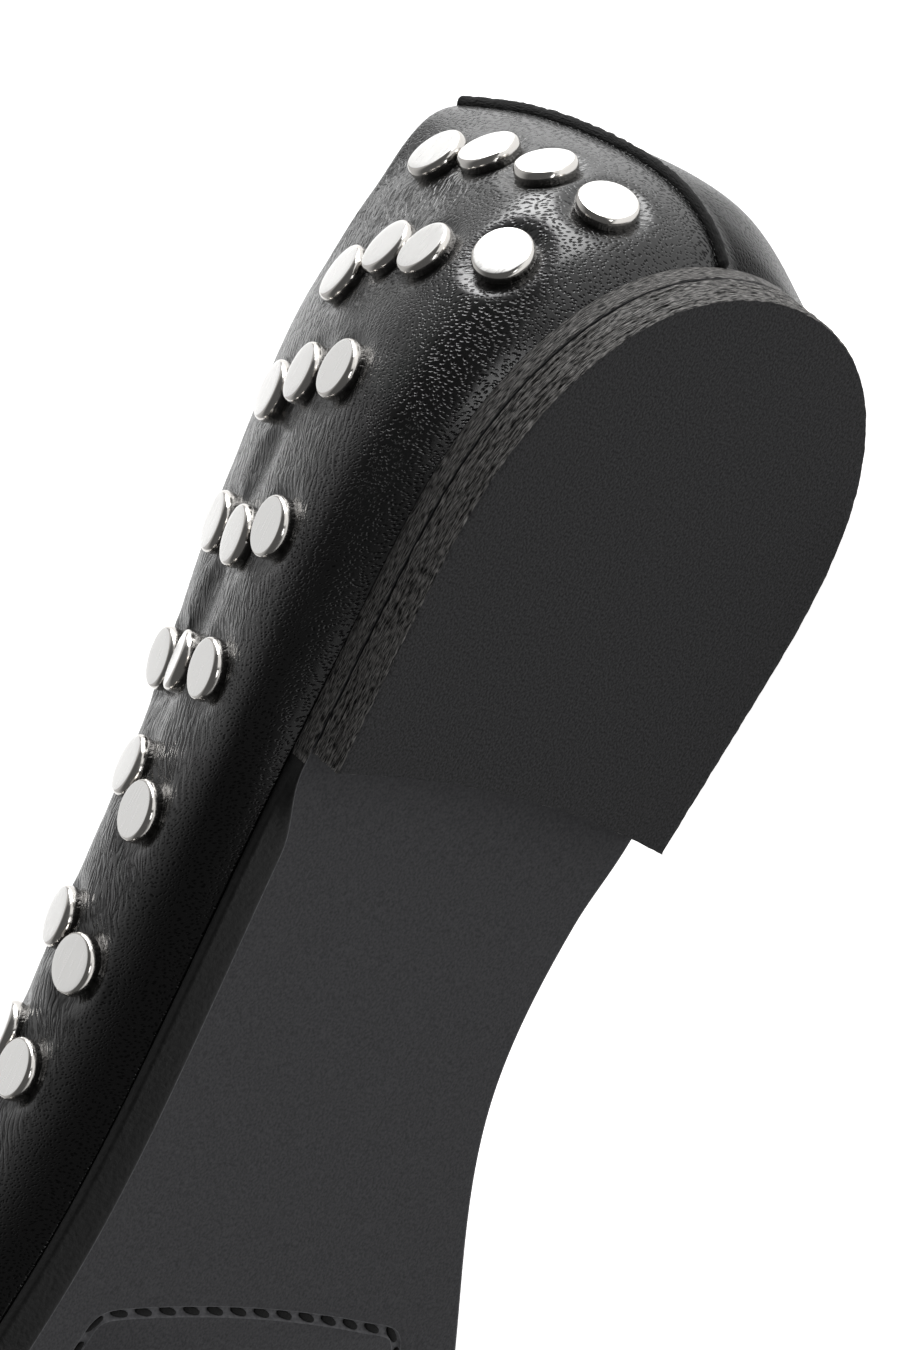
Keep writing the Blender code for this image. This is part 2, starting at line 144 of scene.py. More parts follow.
# One row for each section of the last. x and pivot_x are shares of LENGTH; lateral, medial and pivot_y of
# BALL_WIDTH; crown of INSTEP; wall of BACK_HEIGHT. bulge and peak are in millimetres.
SECTION_COLUMNS = ("x", "lateral", "medial", "pivot_x", "pivot_y", "crown", "square", "bulge", "peak", "wall")
SECTIONS = {
    "heel back":   (0.000, 0.0000, 0.0000, 0.147, 0.000, 2.30, 2.2, 4.1, 15.5, 1.030),
    "heel corner": (0.021, 0.2000, 0.2000, 0.147, 0.000, 1.87, 1.7, 5.4, 15.0, 1.010),
    "heel side":   (0.082, 0.3225, 0.3225, 0.151, 0.000, 1.58, 1.7, 5.1, 11.0, 1.055),
    "seat front":  (0.184, 0.3400, 0.3400, 0.188, 0.000, 1.49, 1.75, 5.4, 9.0, 0.930),
    "breast":      (0.286, 0.3175, 0.3214, 0.286, -0.006, 1.11, 2.5, 4.1, 7.0, 0.746),
    "waist":       (0.388, 0.3013, 0.3272, 0.388, -0.025, 0.92, 3.05, 3.1, 11.0, 0.724),
    "arch front":  (0.498, 0.3088, 0.4739, 0.498, -0.075, 0.88, 3.2, 2.5, 9.0, 0.700),
    "joint":       (0.604, 0.3563, 0.6060, 0.604, -0.113, 0.93, 2.9, 2.4, 9.0, 0.739),
    "ball":        (0.710, 0.3780, 0.6220, 0.710, -0.144, 1.00, 2.5, 2.0, 8.0, 0.826),
    "toe box":     (0.8245, 0.3313, 0.5750, 0.808, -0.169, 0.86, 2.3, 1.5, 7.0, 0.826),
    "toe side":    (0.937, 0.1840, 0.4610, 0.857, -0.180, 0.76, 2.2, 1.5, 6.0, 0.826),
    "toe corner":  (0.984, 0.0140, 0.3340, 0.8735, -0.181, 0.72, 2.2, 1.5, 6.0, 0.826),
    "toe tip":     (1.000, -0.1813, 0.1813, 0.8816, -0.181, 0.70, 2.2, 1.5, 6.0, 0.826),
}

# One row for each soft crease of the wall: its station along the sole's edge from the heel's back, its height
# up the leather, its depth (a ridge where negative), how far it fades along and up, its climb per millimetre
# along, and its side (1 lateral, -1 medial, 0 both).
CREASE_COLUMNS = ("station", "height", "depth", "along", "up", "climb", "side")
CREASES = {
    "quarter fold":    (80.0, 25.0, 1.3, 9.0, 4.2, 0.0, 0),
    "counter trough":  (55.0, 28.5, 1.0, 9.0, 3.2, -0.10, 1),
    "waist trough":    (69.0, 27.0, 0.9, 6.0, 3.0, -0.05, 1),
    "throat trough":   (103.0, 32.0, 0.9, 6.0, 6.0, 0.0, 1),
    "pressed back":    (13.0, 6.0, 1.6, 9.0, 7.0, 0.0, -1),
    "back corner":     (13.0, 45.0, 1.2, 5.0, 7.0, 0.0, 1),
    "back seam":       (0.0, 36.0, -0.6, 5.0, 12.0, 0.0, 0),
    "medial corner":   (10.0, 22.0, -0.6, 7.0, 14.0, 0.0, -1),
}


def ease(share):
    """Smooth step from 0 to 1."""
    share = np.clip(share, 0.0, 1.0)
    return share * share * (3.0 - 2.0 * share)


def section_column(name):
    """One column of the section table, as an array."""
    return np.array([row[SECTION_COLUMNS.index(name)] for row in SECTIONS.values()])


def closed_spline(knots, values, period):
    """Smooth closed curve through the rows of values, as a function of the distance along it."""
    count = len(knots)
    spans = np.diff(np.append(knots, knots[0] + period))
    system = np.zeros((count, count))
    pull = np.zeros_like(values)
    for i in range(count):
        before, after, follower = spans[i - 1], spans[i], (i + 1) % count
        system[i, i - 1] += before
        system[i, i] += 2.0 * (before + after)
        system[i, follower] += after
        pull[i] = 6.0 * ((values[follower] - values[i]) / after - (values[i] - values[i - 1]) / before)
    bend = np.linalg.solve(system, pull)

    def at(distance):
        distance = np.mod(np.atleast_1d(distance), period)
        i = np.clip(np.searchsorted(knots, distance, side="right") - 1, 0, count - 1)
        j = (i + 1) % count
        span = spans[i][:, None]
        past = distance[:, None] - knots[i][:, None]
        ahead = span - past
        curve = (bend[i] * ahead ** 3 + bend[j] * past ** 3) / (6.0 * span)
        curve += (values[i] / span - bend[i] * span / 6.0) * ahead
        return curve + (values[j] / span - bend[j] * span / 6.0) * past

    return at


lateral_edge = np.column_stack([section_column("x") * LENGTH, section_column("lateral") * BALL_WIDTH])
medial_edge = np.column_stack([section_column("x") * LENGTH, -section_column("medial") * BALL_WIDTH])
shared = np.column_stack([
    section_column("pivot_x") * LENGTH, section_column("pivot_y") * BALL_WIDTH,
    section_column("crown") * INSTEP, section_column("square"), section_column("bulge"),
    section_column("peak"), section_column("wall") * BACK_HEIGHT])
chords = [np.linalg.norm(np.diff(side, axis=0), axis=1) for side in (lateral_edge, medial_edge)]
side_knots = np.append(0.0, np.cumsum(sum(chords) / 2.0))
TIP = side_knots[-1]
ROUND = 2.0 * TIP
lateral_rows = np.column_stack([lateral_edge, shared])
medial_rows = np.column_stack([medial_edge, shared])
section_at = closed_spline(
    np.append(side_knots, ROUND - side_knots[-2:0:-1]),
    np.vstack([lateral_rows, medial_rows[-2:0:-1]]), ROUND)
fine_stations = np.linspace(0.0, TIP, 2000)
THROAT_STATION = float(np.interp(THROAT, section_at(fine_stations)[:, 2], fine_stations))


def outward(stations):
    """Level unit normals of the sole's edge, pointing out of the shoe."""
    step = 0.05
    along = section_at(stations + step)[:, :2] - section_at(stations - step)[:, :2]
    normal = np.column_stack([-along[:, 1], along[:, 0]])
    return normal / np.linalg.norm(normal, axis=1)[:, None]


def underside(x):
    """Height of the outsole's underside: level over the heel, down to the tread, up at the toe."""
    shank = HEEL_HEIGHT * (1.0 - ease((x - HEEL_LENGTH) / (TREAD_START - HEEL_LENGTH)))
    spring = TOE_SPRING * np.clip((x - TREAD_END) / (LENGTH - TREAD_END), 0.0, 1.0) ** 2
    return shank + spring


def seat(x):
    """Height of the outsole's top, where the upper meets it."""
    return underside(x) + SOLE_SEAT + (SOLE_TREAD - SOLE_SEAT) * ease((x - HEEL_LENGTH) / SOLE_BLEND)


def from_back(stations):
    """Distance along the edge from the heel's back, the same on both sides."""
    stations = np.mod(stations, ROUND)
    return np.minimum(stations, ROUND - stations)


def past_heel(stations):
    """0 round the heel, where the upper lies flush on the sole, and 1 along the rest, where a crack shows."""
    return ease((from_back(stations) - FLUSH_TO) / FLUSH_FADE)


def ribs(stations):
    """The sections' curves from the sole's edge to the crown, each with its lengths along the leather."""
    rows = section_at(stations)
    foot, pivot = rows[:, :2], rows[:, 2:4]
    crown, square, bulge, peak = (rows[:, i:i + 1] for i in range(4, 8))
    normal = outward(stations)
    opened = past_heel(stations)[:, None]
    start = foot - normal * FEATHER_INSET * (FLUSH_SHARE + (1.0 - FLUSH_SHARE) * opened)
    gap = FEATHER_GAP * (2.0 * opened - 1.0)
    foot_z, pivot_z = seat(foot[:, :1]), seat(pivot[:, :1])
    slope = np.where(pivot[:, :1] > THROAT, VAMP_SLOPE, 0.0)
    curves = []
    for share in np.linspace(0.0, 1.0, RIB_SAMPLES):
        turn = 0.5 * math.pi * share ** RIB_CROWDING
        rise = crown * math.sin(turn) ** (2.0 / square)
        reach = (max(math.cos(turn), 0.0) if share < 1.0 else 0.0) ** (2.0 / square)
        swell = bulge * rise / peak * np.exp(1.0 - rise / peak) * ease(reach / SWELL_REACH)
        plan = pivot + (start - pivot) * reach + normal * swell
        base = pivot_z + (foot_z - pivot_z) * reach ** 2
        tilt = slope * (plan[:, :1] - pivot[:, :1]) * (1.0 - reach ** 2)
        curves.append(np.column_stack([plan, base + tilt + rise + gap]))
    curves = np.array(curves)
    lengths = np.zeros(curves.shape[:2])
    lengths[1:] = np.cumsum(np.linalg.norm(np.diff(curves, axis=0), axis=2), axis=0)
    return curves, lengths


def topline(stations, lengths):
    """Height of the topline up the leather: the wall's height, and the whole section past the throat."""
    wall = np.minimum(section_at(stations)[:, 8], lengths[-1])
    opening = np.sqrt(1.0 - np.clip(from_back(stations) / THROAT_STATION, 0.0, 1.0) ** THROAT_ROUND)
    return lengths[-1] - (lengths[-1] - wall) * opening


def crease_depth(stations, heights):
    """How far the soft creases draw the leather in."""
    depth = np.zeros(heights.shape)
    lateral = np.mod(stations + TIP, ROUND) - TIP
    for row in CREASES.values():
        crease = dict(zip(CREASE_COLUMNS, row))
        along = (crease["side"] * lateral if crease["side"] else np.abs(lateral)) - crease["station"]
        middle = crease["height"] + crease["climb"] * along
        fade = np.exp(-(along / crease["along"]) ** 2)
        depth += crease["depth"] * fade * np.exp(-((heights - middle) / crease["up"]) ** 2)
    return depth


def wall_points(stations, heights):
    """Points on the leather's outside. heights has a row for each level and a column for each station."""
    curves, lengths = ribs(stations)
    points = np.zeros(heights.shape + (3,))
    for column, run in enumerate(lengths.T):
        for axis in range(3):
            points[:, column, axis] = np.interp(heights[:, column], run, curves[:, column, axis])
    points[:, :, :2] -= outward(stations)[None] * crease_depth(stations[None], heights)[:, :, None]
    return points


def unit(vectors):
    """Vectors of length 1."""
    return vectors / np.maximum(np.linalg.norm(vectors, axis=-1, keepdims=True), 1e-9)


def wall_normals(wall, spine):
    """Outward normals of a closed grid of wall points, whose top row meets itself along the spine."""
    along = np.roll(wall, -1, axis=1) - np.roll(wall, 1, axis=1)
    normals = unit(np.cross(np.gradient(wall, axis=0), along))
    normals[-1, spine] = unit(normals[-2, spine] + normals[-2, spine[::-1]])
    return normals


def spaced(start, stop, step):
    """Even stations from start up to stop, leaving stop out."""
    return np.linspace(start, stop, max(2, round((stop - start) / step)) + 1)[:-1]


def wobble(x, y, z):
    """Smooth unevenness between -1 and 1, the same at the same place each time."""
    return noise.noise(Vector((x, y, z)))


vamp_half = spaced(THROAT_STATION, TIP, COARSE_STEP)
lateral_side = np.concatenate([
    spaced(0.0, FINE_FRONT, FINE_STEP), spaced(FINE_FRONT, THROAT_STATION, FINE_STEP)])
medial_side = np.concatenate([
    spaced(FINE_BACK, THROAT_STATION, COARSE_STEP)[::-1], spaced(0.0, FINE_BACK, FINE_STEP)[:0:-1]])
stations = np.concatenate([
    lateral_side, vamp_half, [TIP], ROUND - vamp_half[::-1], ROUND - medial_side])
throat_column = len(lateral_side)
tip_column = throat_column + len(vamp_half)
medial_throat = 2 * tip_column - throat_column
spine = np.arange(throat_column, medial_throat + 1)
columns = len(stations)
shares = np.insert(np.linspace(0.0, 1.0, WALL_ROWS), 1, TUCK_HEIGHT / BACK_HEIGHT)
levels = np.outer(shares, topline(stations, ribs(stations)[1]))
levels[1] *= [1.0 + TUCK_WOBBLE * wobble(station * 0.35, 7.0, 0.0) for station in stations]
wall = wall_points(stations, levels)
wall[0, :, :2] -= outward(stations) * TUCK * past_heel(stations)[:, None]
wall_out = wall_normals(wall, spine)
wall_up = unit(np.gradient(wall, axis=0))
wall = wall + wall_out * (LIFT * ease(levels / LIFT_RISE))[:, :, None]

# Where each stud sits: its foot's centre on the last, and its own across, up and outward directions
STUD_RADIUS = 3.5
stud_seats = {}
for name, node in frame["nodes"].items():
    if not name.startswith("stud_"):
        continue
    corners = on_last([vert.co for vert in node.data.vertices])
    middle = corners.mean(axis=0)
    out = np.linalg.svd(corners - middle)[2][2]
    nearest = np.unravel_index(np.argmin(((wall - middle) ** 2).sum(axis=2)), wall.shape[:2])
    out = out * np.sign(out @ wall_out[nearest])
    rise = wall_up[nearest] - out * (wall_up[nearest] @ out)
    rise = rise / np.linalg.norm(rise)
    foot = middle + out * ((corners - middle) @ out).min()
    stud_seats[name] = (foot, np.cross(rise, out), rise, out)

# The leather lies flat under each stud, sinks in a narrow ring at its rim and rises to the wall again
STUD_PRESS = 0.12
STUD_LIFT = 0.2
STUD_FADE = 2.8
STUD_RING = 0.16
STUD_RING_OFF = 0.2
STUD_RING_WIDTH = 0.4
STUD_REACH = 6.0
STUD_NONE_NEAR = 30.0
stud_near = np.full(wall.shape[:2], STUD_NONE_NEAR)
stud_place = np.zeros(wall.shape)
stud_drop = np.zeros(wall.shape[:2])
for foot, across, rise, out in stud_seats.values():
    offset = wall - foot
    x, y, z = offset @ across, offset @ rise, offset @ out
    away = np.hypot(x, y)
    closer = (away < stud_near) & (np.abs(z) < STUD_REACH)
    stud_near = np.where(closer, away, stud_near)
    stud_place = np.where(closer[:, :, None], np.stack([x, y, away], axis=2), stud_place)
    stud_drop = np.where(closer, z, stud_drop)
pull = 1.0 - ease((stud_near - STUD_RADIUS) / STUD_FADE)
press = pull * np.minimum(-STUD_PRESS - stud_drop, STUD_LIFT)
press = press - STUD_RING * np.exp(-((stud_near - STUD_RADIUS - STUD_RING_OFF) / STUD_RING_WIDTH) ** 2)
stud_place[:, :, 2] = stud_near

# Hand-made unevenness: the leather isn't quite smooth over the last
SWELLS = ((13.0, 0.16), (5.0, 0.05))
SWELL_RISE = 4.0
uneven = np.zeros(wall.shape[:2])
for size, height in SWELLS:
    flat = [noise.noise(Vector(point) / size) for point in wall.reshape(-1, 3)]
    uneven += height * np.reshape(flat, wall.shape[:2])
free = ease((stud_near - STUD_RADIUS) / STUD_FADE) * ease(levels / SWELL_RISE)
wall = wall + wall_out * (press + uneven * free)[:, :, None]

# The soft leather is pressed flat where the shoe lies on the floor
FLOOR_CLEAR = 0.02
sunk = np.minimum(in_frame(wall)[:, :, 2] / MM - FLOOR_CLEAR, 0.0)
wall = wall - sunk[:, :, None] * lay[2]
wall_out = wall_normals(wall, spine)

# The spine past the throat is shared by both sides, and the rest of the top row is the open topline
outer = np.arange(wall.shape[0] * columns).reshape(-1, columns)
outer[-1, tip_column + 1:medial_throat + 1] = outer[-1, throat_column:tip_column][::-1]
rim_columns = np.r_[0:throat_column + 1, medial_throat + 1:columns]
rim_at = wall[-1, rim_columns]
rim_out = wall_out[-1, rim_columns]
rim_along = unit(np.roll(rim_at, -1, axis=0) - np.roll(rim_at, 1, axis=0))
rim_up = unit(np.cross(rim_along, rim_out))
rim_rings = []
for step in range(1, RIM_STEPS):
    roll = math.pi * step / RIM_STEPS
    rim_rings.append(rim_at + 0.5 * LEATHER * ((math.cos(roll) - 1.0) * rim_out + math.sin(roll) * rim_up))
lining_rows = np.round(np.linspace(0, WALL_ROWS, LINING_ROWS + 1)).astype(int)
lining = wall[lining_rows] - wall_out[lining_rows] * LEATHER
inner_start = outer.size + len(rim_columns) * len(rim_rings)
inner = inner_start + np.arange(lining.shape[0] * columns).reshape(-1, columns)
inner[-1, tip_column + 1:medial_throat + 1] = inner[-1, throat_column:tip_column][::-1]
rim = [outer[-1, rim_columns]]
rim += [outer.size + len(rim_columns) * i + np.arange(len(rim_columns)) for i in range(len(rim_rings))]
rim += [inner[-1, rim_columns]]


def bands(rows):
    """Faces of the bands between closed rows of point numbers, from each row to the next."""
    faces = []
    for first, second in zip(rows[:-1], rows[1:]):
        faces += np.column_stack([first, second, np.roll(second, -1), np.roll(first, -1)]).tolist()
    return faces


upper_faces = bands(outer) + bands(rim)
leather_count = len(upper_faces)
upper_faces += bands(inner[::-1]) + bands([inner[0], outer[0]])
upper_slots = np.r_[np.zeros(leather_count, int), np.ones(len(upper_faces) - leather_count, int)]
upper_points = np.vstack([wall.reshape(-1, 3)] + rim_rings + [lining.reshape(-1, 3)])

# Painted shade: the leather's reflection is dimmed round the back on the medial side, from the seam and up to
# a height
SHADE_FROM = 3.0
SHADE_START = 2.5
SHADE_TO = 50.0
SHADE_FADE = 20.0
SHADE_TOP = 48.0
SHADE_TOP_FADE = 14.0
past_seam = SHADE_FROM - (np.mod(stations + TIP, ROUND) - TIP)
reflection_shade = ease(past_seam / SHADE_START) * ease((SHADE_TO - past_seam) / SHADE_FADE)
reflection_shade = reflection_shade * ease((SHADE_TOP - levels) / SHADE_TOP_FADE)
grid_lay = np.stack([np.broadcast_to(from_back(stations), levels.shape), levels, reflection_shade], axis=2)
upper_lay = np.vstack([grid_lay.reshape(-1, 3)] + [
    grid_lay[-1, rim_columns] + [0.0, LEATHER * 0.5 * math.pi * step / RIM_STEPS, 0.0]
    for step in range(1, RIM_STEPS)] + [grid_lay[lining_rows].reshape(-1, 3)])
upper_stud = np.vstack([stud_place.reshape(-1, 3)] + [stud_place[-1, rim_columns]] * len(rim_rings) + [
    stud_place[lining_rows].reshape(-1, 3)])


def colour(code):
    """An sRGB hex colour as linear light."""
    parts = [int(code[i:i + 2], 16) / 255.0 for i in (1, 3, 5)]
    return [part / 12.92 if part <= 0.04045 else ((part + 0.055) / 1.055) ** 2.4 for part in parts] + [1.0]


def set_inputs(owner, node, inputs):
    """Gives each socket a value, or the socket that feeds it; a node feeds from its first output."""
    for socket, value in inputs.items():
        if isinstance(value, bpy.types.Node):
            value = value.outputs[0]
        if isinstance(value, bpy.types.NodeSocket):
            owner.node_tree.links.new(value, node.inputs[socket])
        else:
            node.inputs[socket].default_value = value


def add_node(owner, kind, inputs, **settings):
    """Adds a node to a material or world, with its settings and what feeds it."""
    node = owner.node_tree.nodes.new("ShaderNode" + kind)
    for name, value in settings.items():
        setattr(node, name, value)
    set_inputs(owner, node, inputs)
    return node


def dress(material, inputs):
    """Sets sockets of the material's shader."""
    set_inputs(material, material.node_tree.nodes["Principled BSDF"], inputs)


def new_material(name, inputs):
    """A material with one shader, whose sockets are set from inputs."""
    material = bpy.data.materials.new(name)
    material.use_nodes = True
    dress(material, {"Base Color": colour("#808080")})
    dress(material, inputs)
    return material


# Black nappa: glossy lambskin. Its follicles are short slanting pits, and along the quarter they lie in rows
# between fine winding creases, which gather into spokes round each stud. All are drawn slightly coarse.
# Painted shade dims the reflection in the hollows of the grain and at the medial back corner, on the side the
# shoe lies on.
PIT_LENGTH = 0.66
PIT_SPACING = 0.36
PIT_TILT = math.radians(50.0)
CREASE_LENGTH = 3.2
CREASE_SPACING = 0.85
CREASE_TILT = math.radians(-36.0)
CREASE_SHARE = 0.7
WANDER_SIZE = 4.0
WANDER_BY = 1.6
SPOKES = 9.0
GRAIN_DEPTH = 0.00005
# Where the creased grain comes in: the axis of the lay, and the millimetres where it starts and is full
GRAIN_RUNS = {
    "counter": (0, 28.0, 48.0), "edge": (1, 7.0, 15.0), "back": (0, 6.0, 16.0), "swell": (1, 20.0, 32.0)}
SOFT_RAMP = {"interpolation_type": "SMOOTHSTEP"}
nappa = new_material("black_nappa_leather", {"Base Color": colour("#060606"), "Roughness": 0.25, "IOR": 1.5})
place = add_node(nappa, "Attribute", {}, attribute_name="lay").outputs["Vector"]
where = add_node(nappa, "SeparateXYZ", {0: place})
wander = add_node(nappa, "TexNoise", {"Vector": place, "Scale": 1 / WANDER_SIZE, "Detail": 1.0})
moved = add_node(nappa, "VectorMath", {
    0: wander.outputs["Color"], 1: (WANDER_BY, WANDER_BY, 0.0), 2: place}, operation="MULTIPLY_ADD")
pit_place = add_node(nappa, "Mapping", {
    "Vector": moved, "Scale": (PIT_LENGTH, PIT_SPACING, 1.0), "Rotation": (0.0, 0.0, PIT_TILT)},
    vector_type="TEXTURE")
pit_cells = add_node(nappa, "TexVoronoi", {"Vector": pit_place, "Scale": 1.0}, voronoi_dimensions="2D")
pit_depth = add_node(nappa, "MapRange", {0: where.outputs[0], 1: 45.0, 2: 85.0, 3: 1.5, 4: 0.5})
pits = add_node(nappa, "MapRange", {
    0: pit_cells, 1: 0.08, 2: 0.4, 4: pit_depth}, **SOFT_RAMP)
crease_place = add_node(nappa, "Mapping", {
    "Vector": moved, "Scale": (CREASE_LENGTH, CREASE_SPACING, 1.0), "Rotation": (0.0, 0.0, CREASE_TILT)},
    vector_type="TEXTURE")
crease_noise = add_node(nappa, "TexNoise", {"Vector": crease_place, "Scale": 1.0, "Detail": 1.0})
crease_sides = add_node(nappa, "Math", {0: crease_noise, 1: 0.5}, operation="SUBTRACT")
crease_away = add_node(nappa, "Math", {0: crease_sides}, operation="ABSOLUTE")
creases = add_node(nappa, "MapRange", {
    0: crease_away, 2: 0.15, 4: 3.2}, **SOFT_RAMP)
rows = add_node(nappa, "Mix", {0: CREASE_SHARE, 2: pits, 3: creases}, data_type="FLOAT")
past = {}
for part, (axis, start, full) in GRAIN_RUNS.items():
    past[part] = add_node(nappa, "MapRange", {
        0: where.outputs[axis], 1: start, 2: full}, **SOFT_RAMP)
shoulder = add_node(nappa, "Math", {0: past["back"], 1: past["swell"]}, operation="MULTIPLY")
creased = add_node(nappa, "Math", {0: past["counter"], 1: shoulder}, operation="MAXIMUM")
quarter = add_node(nappa, "Math", {0: creased, 1: past["edge"]}, operation="MULTIPLY")
grain = add_node(nappa, "Mix", {0: quarter, 2: pits, 3: rows}, data_type="FLOAT")
spot = add_node(nappa, "Attribute", {}, attribute_name="stud").outputs["Vector"]
around = add_node(nappa, "VectorMath", {0: spot, 1: (1.0, 1.0, 0.0)}, operation="MULTIPLY")
spoke = add_node(nappa, "VectorMath", {0: around}, operation="NORMALIZE")
spoke_fine = add_node(nappa, "VectorMath", {0: spoke, "Scale": SPOKES}, operation="SCALE")
spoke_place = add_node(nappa, "VectorMath", {
    0: spot, 1: (0.0, 0.0, 0.4), 2: spoke_fine}, operation="MULTIPLY_ADD")
pucker_noise = add_node(nappa, "TexNoise", {"Vector": spoke_place, "Scale": 1.0, "Detail": 1.5})
pucker = add_node(nappa, "MapRange", {0: pucker_noise, 1: 0.35, 2: 0.65})
stud_away = add_node(nappa, "SeparateXYZ", {0: spot}).outputs[2]
gathered = add_node(nappa, "MapRange", {
    0: stud_away, 1: 3.6, 2: 6.0, 3: 0.75, 4: 0.0}, **SOFT_RAMP)
relief = add_node(nappa, "Mix", {0: gathered, 2: grain, 3: pucker}, data_type="FLOAT")
grain_bump = add_node(nappa, "Bump", {"Height": relief, "Distance": GRAIN_DEPTH})
# Painted shade: the specular level drops from 0.5 to 0.05 at the medial back corner
corner_gloss = add_node(nappa, "MapRange", {0: where.outputs[2], 3: 0.5, 4: 0.05})
# Painted shade: the hollows of the grain reflect less, as if shaded inside
hollow_shade = add_node(nappa, "MapRange", {0: relief, 2: 0.7, 3: 0.2})
shaded_gloss = add_node(nappa, "Math", {0: corner_gloss, 1: hollow_shade}, operation="MULTIPLY")
dress(nappa, {"Normal": grain_bump, "Specular IOR Level": shaded_gloss})


def fleck(leather, mark, size, dark, pale, span, depth):
    """Gives a leather flecks of two tones and a relief. Real nap and fibres are too fine to show, so they
    are drawn coarser: size in mm along the mark's axes, span of the noise, and depth in metres."""
    spread = add_node(leather, "Attribute", {}, attribute_name=mark).outputs["Vector"]
    sized = add_node(leather, "Mapping", {"Vector": spread, "Scale": size}, vector_type="TEXTURE")
    speckle = add_node(leather, "TexNoise", {"Vector": sized, "Scale": 1.0, "Detail": 3.0})
    shade = add_node(leather, "MapRange", {0: speckle, 1: span[0], 2: span[1]})
    tint = add_node(leather, "Mix", {0: shade, 6: colour(dark), 7: colour(pale)}, data_type="RGBA")
    raised = add_node(leather, "Bump", {"Height": speckle, "Distance": depth})
    dress(leather, {"Base Color": tint.outputs[2], "Normal": raised})


# Lining: thin matte leather, dark grey with a soft nap, bonded to the upper's inside
lining_leather = new_material("lining_leather", {"Roughness": 0.75, "IOR": 1.5})
fleck(lining_leather, "lay", (0.7, 0.7, 0.7), "#232221", "#343230", (0.35, 0.65), 0.00006)

upper_marks = {"lay": upper_lay, "stud": upper_stud}
upper = make_piece(
    "leather_upper", upper_points, upper_faces, [nappa, lining_leather], upper_marks, upper_slots)
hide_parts("upper")

# The back seam's cord
# A thin waxed black cord, sewn standing over the closed back seam, from the sole up over the topline.
CORD_RADIUS = 0.62
CORD_FOOT = 3.4
CORD_HEAD = 1.0
CORD_OVER = 1.015
CORD_STAND = 1.3
CORD_RISE = 0.55
CORD_TAPER = 0.85
CORD_TIP = 0.55
CORD_ROUGH = 0.12
CORD_STEPS = 150
CORD_SIDES = 14
cord_share = np.linspace(0.0, CORD_OVER, CORD_STEPS + 1)
cord_stations = CORD_FOOT + (CORD_HEAD - CORD_FOOT) * cord_share
cord_heights = cord_share * topline(cord_stations, ribs(cord_stations)[1])
cord_curves = wall_points(cord_stations, cord_heights[None])[0]
cord_along = unit(np.gradient(cord_curves, axis=0))
cord_out = np.column_stack([outward(cord_stations), np.zeros(CORD_STEPS + 1)])
cord_out = unit(cord_out - cord_along * (cord_out * cord_along).sum(axis=1)[:, None])
cord_side = np.cross(cord_along, cord_out)
cord_points = []
cord_lay = []
for i in range(CORD_STEPS + 1):
    taper = CORD_TAPER + (1.0 - CORD_TAPER) * cord_share[i]
    if i in (0, CORD_STEPS):
        taper = taper * CORD_TIP
    for j in range(CORD_SIDES):
        spin = 2.0 * math.pi * j / CORD_SIDES
        rough = 1.0 + CORD_ROUGH * wobble(i * 0.45, math.cos(spin) * 1.3, math.sin(spin) * 1.3)
        radius = CORD_RADIUS * taper * rough
        aside = cord_side[i] * math.cos(spin) + cord_out[i] * CORD_STAND * (math.sin(spin) + CORD_RISE)
        cord_points.append(cord_curves[i] + radius * aside)
        cord_lay.append((i * 0.3, j * 0.4, 0.0))
cord_rows = np.arange(len(cord_points)).reshape(-1, CORD_SIDES)
cord_faces = bands(cord_rows) + [cord_rows[0][::-1].tolist(), cord_rows[-1].tolist()]

# Waxed cord: dull black, rough to the eye, with fine fibres
waxed_cord = new_material("waxed_cord", {"Roughness": 0.9, "IOR": 1.4})
fleck(waxed_cord, "lay", (0.5, 0.25, 1.0), "#040404", "#0d0d0d", (0.4, 0.7), 0.00025)
cord = make_piece("back_seam_cord", np.array(cord_points), cord_faces, [waxed_cord], {"lay": cord_lay})
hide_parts("back_cord")

# The studs
# Flat disc studs of bright metal with a rounded rim, riveted through the leather in columns on both quarters.
# All share one turned shape; the skirt goes a little way into the leather's dimple.
STUD_PROFILE = (
    (0.0, 1.42), (1.2, 1.415), (2.3, 1.408), (2.98, 1.395), (3.1, 1.375), (3.21, 1.32), (3.31, 1.22),
    (3.39, 1.08), (3.45, 0.9), (3.49, 0.68), (3.5, 0.46), (3.48, 0.25), (3.44, 0.05), (3.37, -0.15),
    (3.3, -0.5), (0.0, -0.5))
STUD_TOP_BANDS = 4
STUD_SIDES = 72
spins = np.linspace(0.0, 2.0 * math.pi, STUD_SIDES, endpoint=False)
stud_points = [(0.0, 0.0, STUD_PROFILE[0][1])]
for radius, height in STUD_PROFILE[1:-1]:
    stud_points += [(radius * math.cos(spin), radius * math.sin(spin), height) for spin in spins]
stud_points.append((0.0, 0.0, STUD_PROFILE[-1][1]))
stud_rings = 1 + np.arange(STUD_SIDES * (len(STUD_PROFILE) - 2)).reshape(-1, STUD_SIDES)
stud_faces = [[0, a, b] for a, b in zip(stud_rings[0], np.roll(stud_rings[0], -1))]
stud_faces += bands(stud_rings)
stud_faces += [[len(stud_points) - 1, b, a] for a, b in zip(stud_rings[-1], np.roll(stud_rings[-1], -1))]
stud_slots = [0 if i < STUD_SIDES * STUD_TOP_BANDS else 1 for i in range(len(stud_faces))]


